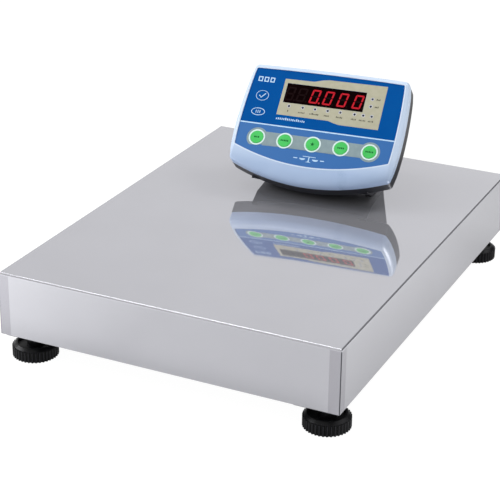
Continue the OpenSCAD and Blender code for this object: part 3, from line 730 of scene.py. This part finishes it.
def printLabels():
    row, tall, gap, wide = (printSet[k] for k in ("labelRow", "labelTall", "sideGap", "sideLabel"))
    for i, (u, length) in enumerate(zip(printSet["leds"], printSet["labels"])):
        dashes(u, row, length, tall, 10 + i, labelInk, f"ledLabel_{i + 1}")
    for i, (u, v) in enumerate(printSet["ledSide"]):
        dashes(u + gap, v, wide, tall, 30 + i, labelInk, f"sideLabel_{i + 1}")
    dashes(*printSet["unitLine"], 50, paleInk, "unitLine", step=2.6, low=onFilm[0])


markSet = {
    "blocks": (-96, 86.6), "blockStep": 8.6, "blockOuter": (6.4, 7.4), "blockInner": (3.4, 4.4),
    "left": -87.5,          # the tick's ring and the oval stand one above the other here
    "tickHeight": 62, "tickRadii": (7.6, 7.0), "tickWide": 1.2, "tickLine": 1.3,
    "tick": [(-91.8, 62.2), (-88.8, 58.8), (-83.2, 65.4)],
    "ovalHeight": 37.6, "ovalOuter": (5.7, 1.72), "ovalInner": (4.7, 1.88),
    "ovalBars": (-90.2, 2.7, 1.0, 4.2),  # the first, the step, and one bar's width and height
    "beam": 9, "beamHeight": -18.4, "beamLine": 0.9,
    "post": [(-0.6, -18.9), (0.6, -18.9), (0.9, -25.2), (4, -26.4), (-4, -26.4), (-0.9, -25.2)],
    "panHeight": -21.4, "panRadii": (4.2, 2.6),
    "side": (16, 21.5, -22, 1.2),        # the lines beside the balance: from, to, height and width
}


def printMarks():
    # plain marks at the left: three blocks, a tick in a ring, and an oval with three bars
    first, row = markSet["blocks"]
    sizes = (markSet["blockOuter"], markSet["blockInner"])
    for i in range(3):
        u = first + markSet["blockStep"] * i
        printed(f"blockMark_{i + 1}", [bar(u, row, *size) for size in sizes], paleInk)
    left, height = markSet["left"], markSet["ovalHeight"]
    rings = [disc(left, markSet["tickHeight"], r, 56, markSet["tickWide"]) for r in markSet["tickRadii"]]
    printed("tickRing", rings, paleInk)
    printed("tickMark", [stroke(markSet["tick"], markSet["tickLine"])], paleInk)
    ovals = [markSet[k] for k in ("ovalOuter", "ovalInner")]
    printed("ovalRing", [disc(left, height, r, 64, wide) for r, wide in ovals], paleInk)
    start, step, w, h = markSet["ovalBars"]
    for i in range(3):
        printed(f"ovalBar_{i + 1}", [bar(start + step * i, height, w, h)], paleInk)
    # a plain balance between two lines in the middle, under the keys
    beam, top = markSet["beam"], markSet["beamHeight"]
    printed("balanceBeam", [stroke([(-beam, top), (beam, top)], markSet["beamLine"])], paleInk)
    printed("balancePost", [markSet["post"]], paleInk)
    wide, deep = markSet["panRadii"]
    near, far, level, line = markSet["side"]
    for s, hand in ((-1, "Left"), (1, "Right")):
        turns = [math.pi * (1 + k / 12) for k in range(13)]
        bowl = [(s * beam + wide * math.cos(a), markSet["panHeight"] + deep * math.sin(a)) for a in turns]
        printed("balancePan" + hand, [bowl], paleInk)
        printed("markLine" + hand, [stroke([(s * near, level), (s * far, level)], line)], paleInk)


iconSet = {
    "depth": (0.93, 0.96),  # just above the caps' tops
    "starRadii": (3.3, 1.35),
    "tall": 2.3, "gap": 0.7,
    "rows": {"key_1": (-2, (2.2, 1.3, 2.2)), "key_2": (-1, (1.6, 1.6, 1.6, 1.6, 1.6)),
             "key_4": (1, (1.8, 1.8, 1.8, 1.8)), "key_5": (2, (1.8, 1.3, 1.8, 1.3, 1.8))},
}


def printIcons():
    star = []
    for i in range(10):
        r = iconSet["starRadii"][i % 2]
        a = math.pi / 2 + math.pi * i / 5
        star.append((r * math.cos(a), r * math.sin(a)))
    low, high = iconSet["depth"]
    thinPiece("iconStar", "key_3", [star], low, high, iconInk, "key_green")
    gap = iconSet["gap"]
    for body, (k, widths) in iconSet["rows"].items():
        at = k * keyPitch - (sum(widths) + gap * (len(widths) - 1)) / 2
        for i, w in enumerate(widths):
            block = bar(at + w / 2, 0, w, iconSet["tall"])
            thinPiece(f"icon_{body}_{i + 1}", body, [block], low, high, iconInk, "key_green")
            at += w + gap


digitSet = {
    "height": 20.6, "width": 12.2, "stroke": 2.35, "lean": 0.155, "gap": 0.32, "chamfer": 1.0,
    "corner": (0.45, 0.5),     # how far in and down a bar's outer corner is cut
    "middles": [-49.3, -32.4, -13.6, 5.4, 25.6, 46.9],
    "drop": 0.7,
    "dot": (2.7, 1.3, 1.25),   # right of the digit, up from its foot, and its radius
    "above": (0.02, 0.05),     # depth over the window's front face
    "text": "  0.000",
}
pointAfter = digitSet["text"].index(".") - 1
windowThick = 2.4
litFinish = segmentFinish("epoxySegmentLit", "#1c0305", "#bd1c28", "#cb2230", 1.0)
# the unlit segments get a faint painted glow as well
unlitFinish = segmentFinish("epoxySegmentUnlitPaintedGlow", "#110304", "#0d0102", "#120203", 0.35)


def makeDigits():
    h, w, t, g = (digitSet[k] for k in ("height", "width", "stroke", "gap"))
    c = digitSet["chamfer"]
    cutIn, cutDown = digitSet["corner"]
    top, right = h / 2, w / 2
    shapes = {
        "a": [(-right + c + g, top), (right - c - g, top), (right - cutIn - g, top - cutDown),
              (right - t - g * 0.4, top - t), (-right + t + g * 0.4, top - t),
              (-right + cutIn + g, top - cutDown)],
        "f": [(-right, top - c - g), (-right + cutDown, top - cutIn - g), (-right + t, top - t - g * 0.6),
              (-right + t, t / 2 + g), (-right + t / 2, g), (-right, g + 0.7)],
        "g": [(-right + t / 2 + g * 1.4, 0), (-right + t + g, t / 2), (right - t - g, t / 2),
              (right - t / 2 - g * 1.4, 0), (right - t - g, -t / 2), (-right + t + g, -t / 2)],
    }

    def flip(points, sx, sy):
        done = [(sx * x, sy * y) for x, y in points]
        return done if sx * sy > 0 else done[::-1]

    shapes["d"] = flip(shapes["a"], 1, -1)
    shapes["b"] = flip(shapes["f"], -1, 1)
    shapes["e"] = flip(shapes["f"], 1, -1)
    shapes["c"] = flip(shapes["f"], -1, -1)
    lit = {" ": "", "0": "abcdef"}
    front = windowMiddle.z + windowThick / 2
    low, high = (front + above for above in digitSet["above"])
    row = windowMiddle.y - digitSet["drop"]
    dotRight, dotUp, dotRadius = digitSet["dot"]
    text = digitSet["text"].replace(".", "")
    for i, (middle, sign) in enumerate(zip(digitSet["middles"], text)):
        u = windowMiddle.x + middle
        for key, shape in shapes.items():
            loop = [(u + x + y * digitSet["lean"], row + y) for x, y in shape]
            finish = litFinish if key in lit[sign] else unlitFinish
            thinPiece(f"digit_{i + 1}_{key}", "terminal", [loop], low, high, finish, "display_epoxy")
        dot = disc(u + right + dotRight - top * digitSet["lean"], row - top + dotUp, dotRadius, 24)
        finish = litFinish if i == pointAfter else unlitFinish
        thinPiece(f"digit_{i + 1}_dot", "terminal", [dot], low, high, finish, "display_epoxy")


printFace()
makeBead()
printLabels()
printMarks()
printIcons()
makeDigits()
print("face printed")


# floor, surroundings and lights

floorSet = {
    "size": 14.0,
    "under": 0.0005,        # metres under the soles, so that the two don't touch
    "across": (-0.6, 0.6),  # metres, left to right, over which these greys run: painted light and shade on the floor, seen only in reflections and bounced light
    "tones": [(0.08, 0.92), (0.4, 0.52), (0.65, 0.495), (0.82, 0.67)],
    "behind": (0.2, 0.6),   # metres to the rear over which they darken by this, a painted shade
    "darker": 0.66,
    "glow": 0.5,            # what it gives off itself in reflections, a painted glow
    "white": 1.22,          # the white that the camera sees, with this share of real shade
    "shade": 0.2,
}
surroundSet = {
    "tones": [(0.0, 0.42), (0.1, 0.6), (0.26, 0.69), (0.5, 0.68), (0.68, 0.6), (0.82, 0.66), (1.0, 0.62)],
    "screenTurn": (-3, 60),    # degrees from the right towards the rear
    "screenSides": [(0.0, 0.0), (0.18, 1.0), (0.8, 1.0), (1.0, 0.0)],
    "screenTop": [(0.0, 1.0), (0.5, 1.0), (0.58, 0.0)],
    "screen": (0.03, 0.03, 0.035, 1),
    "slopeTurn": (-40, -12),   # degrees over which the surround brightens, from the front to the right
    "slope": (0.91, 1.11),
}
lights = [  # name, place, size both ways, power, colour
    ("lightLeft", (-2.3, -0.9, 1.5), (1.5, 1.5), 39, "#fbfcff"),
    ("lightBack", (1.3, 1.35, 2.5), (1.0, 1.0), 28, "#ffffff"),
    ("lightFold", (-1.05, -0.16, 2.5), (0.36, 1.4), 8, "#ffffff"),
]
lightAim = (0, 0, 0.1)
white = (1, 1, 1, 1)


def cameraOrNot(tree, others, camera):
    # one shader for the camera and another for reflections and bounced light
    path = addNode(tree, "LightPath").outputs["Is Camera Ray"]
    return addNode(tree, "MixShader", {"Fac": path, 1: others, 2: camera}).outputs[0]


def makeFloor():
    half, level = floorSet["size"] / 2, -floorSet["under"]
    mesh = bpy.data.meshes.new("floor")
    corners = [(-half, -half, level), (half, -half, level), (half, half, level), (-half, half, level)]
    mesh.from_pydata(corners, [], [(0, 1, 2, 3)])
    floor = bpy.data.objects.new("floor", mesh)
    bpy.context.scene.collection.objects.link(floor)
    material = bpy.data.materials.new("paperSweep")
    material.use_nodes = True
    tree = material.node_tree
    tree.nodes.clear()
    out = addNode(tree, "OutputMaterial")
    # painted light and shade: for reflections and bounced light the floor's grey runs unevenly from left to right,
    # darkens to the rear and glows a little; the camera sees it white
    xyz = addNode(tree, "SeparateXYZ", {"Vector": objectPlace(tree)}).outputs
    graded = addNode(tree, "ValToRGB", {"Fac": mapped(tree, xyz[0], *floorSet["across"])},
                     stops=floorSet["tones"]).outputs[0]
    tone = multiplied(tree, graded, mapped(tree, xyz[1], *floorSet["behind"], 1.0, floorSet["darker"]))
    paintedFloorLight = addNode(tree, "CombineColor", {0: tone, 1: tone, 2: tone}).outputs[0]
    diffuse = addNode(tree, "BsdfDiffuse", {"Color": paintedFloorLight, "Roughness": 0.9}).outputs[0]
    bright = addNode(tree, "Emission", {"Color": white, "Strength": floorSet["white"]}).outputs[0]
    seen = addNode(tree, "MixShader", {"Fac": floorSet["shade"], 1: bright, 2: diffuse}).outputs[0]
    glow = addNode(tree, "Emission", {"Color": paintedFloorLight, "Strength": floorSet["glow"]}).outputs[0]
    lit = addNode(tree, "AddShader", {0: diffuse, 1: glow}).outputs[0]
    tree.links.new(cameraOrNot(tree, lit, seen), out.inputs["Surface"])
    mesh.materials.append(material)


def makeSurround():
    world = bpy.data.worlds.new("surround")
    bpy.context.scene.world = world
    world.use_nodes = True
    tree = world.node_tree
    tree.nodes.clear()
    out = addNode(tree, "OutputWorld")
    way = addNode(tree, "TexCoord").outputs["Generated"]
    xyz = addNode(tree, "SeparateXYZ", {"Vector": way}).outputs
    height = addNode(tree, "ValToRGB", {"Fac": xyz[2]}, stops=surroundSet["tones"]).outputs[0]
    # a dark screen behind and to the right, low down: it draws the dark line along the pan's right fold
    turn = addNode(tree, "Math", {0: xyz[0], 1: xyz[1]}, operation="ARCTAN2").outputs[0]
    ends = (math.radians(a) for a in surroundSet["screenTurn"])
    sides = addNode(tree, "ValToRGB", {"Fac": mapped(tree, turn, *ends)},
                    stops=surroundSet["screenSides"]).outputs[0]
    level = addNode(tree, "ValToRGB", {"Fac": xyz[2]}, stops=surroundSet["screenTop"]).outputs[0]
    shaded = mixedColour(tree, multiplied(tree, sides, level), height, surroundSet["screen"])
    ends = (math.radians(a) for a in surroundSet["slopeTurn"])
    slope = mapped(tree, turn, *ends, *surroundSet["slope"])
    soft = addNode(tree, "Background", {"Color": shaded, "Strength": slope}).outputs[0]
    plain = addNode(tree, "Background", {"Color": white, "Strength": 1.0}).outputs[0]
    tree.links.new(cameraOrNot(tree, soft, plain), out.inputs["Surface"])


def makeLights():
    for name, place, size, power, colour in lights:
        data = bpy.data.lights.new(name, "AREA")
        data.shape = "ELLIPSE"
        data.size, data.size_y = size
        data.energy = power
        data.color = hexLinear(colour)[:3]
        light = bpy.data.objects.new(name, data)
        light.location = place
        light.rotation_mode = "QUATERNION"
        light.rotation_quaternion = (Vector(lightAim) - Vector(place)).to_track_quat("-Z", "Y")
        bpy.context.scene.collection.objects.link(light)


makeFloor()
makeSurround()
makeLights()
bpy.context.scene.view_settings.view_transform = "Standard"
print("stage made")
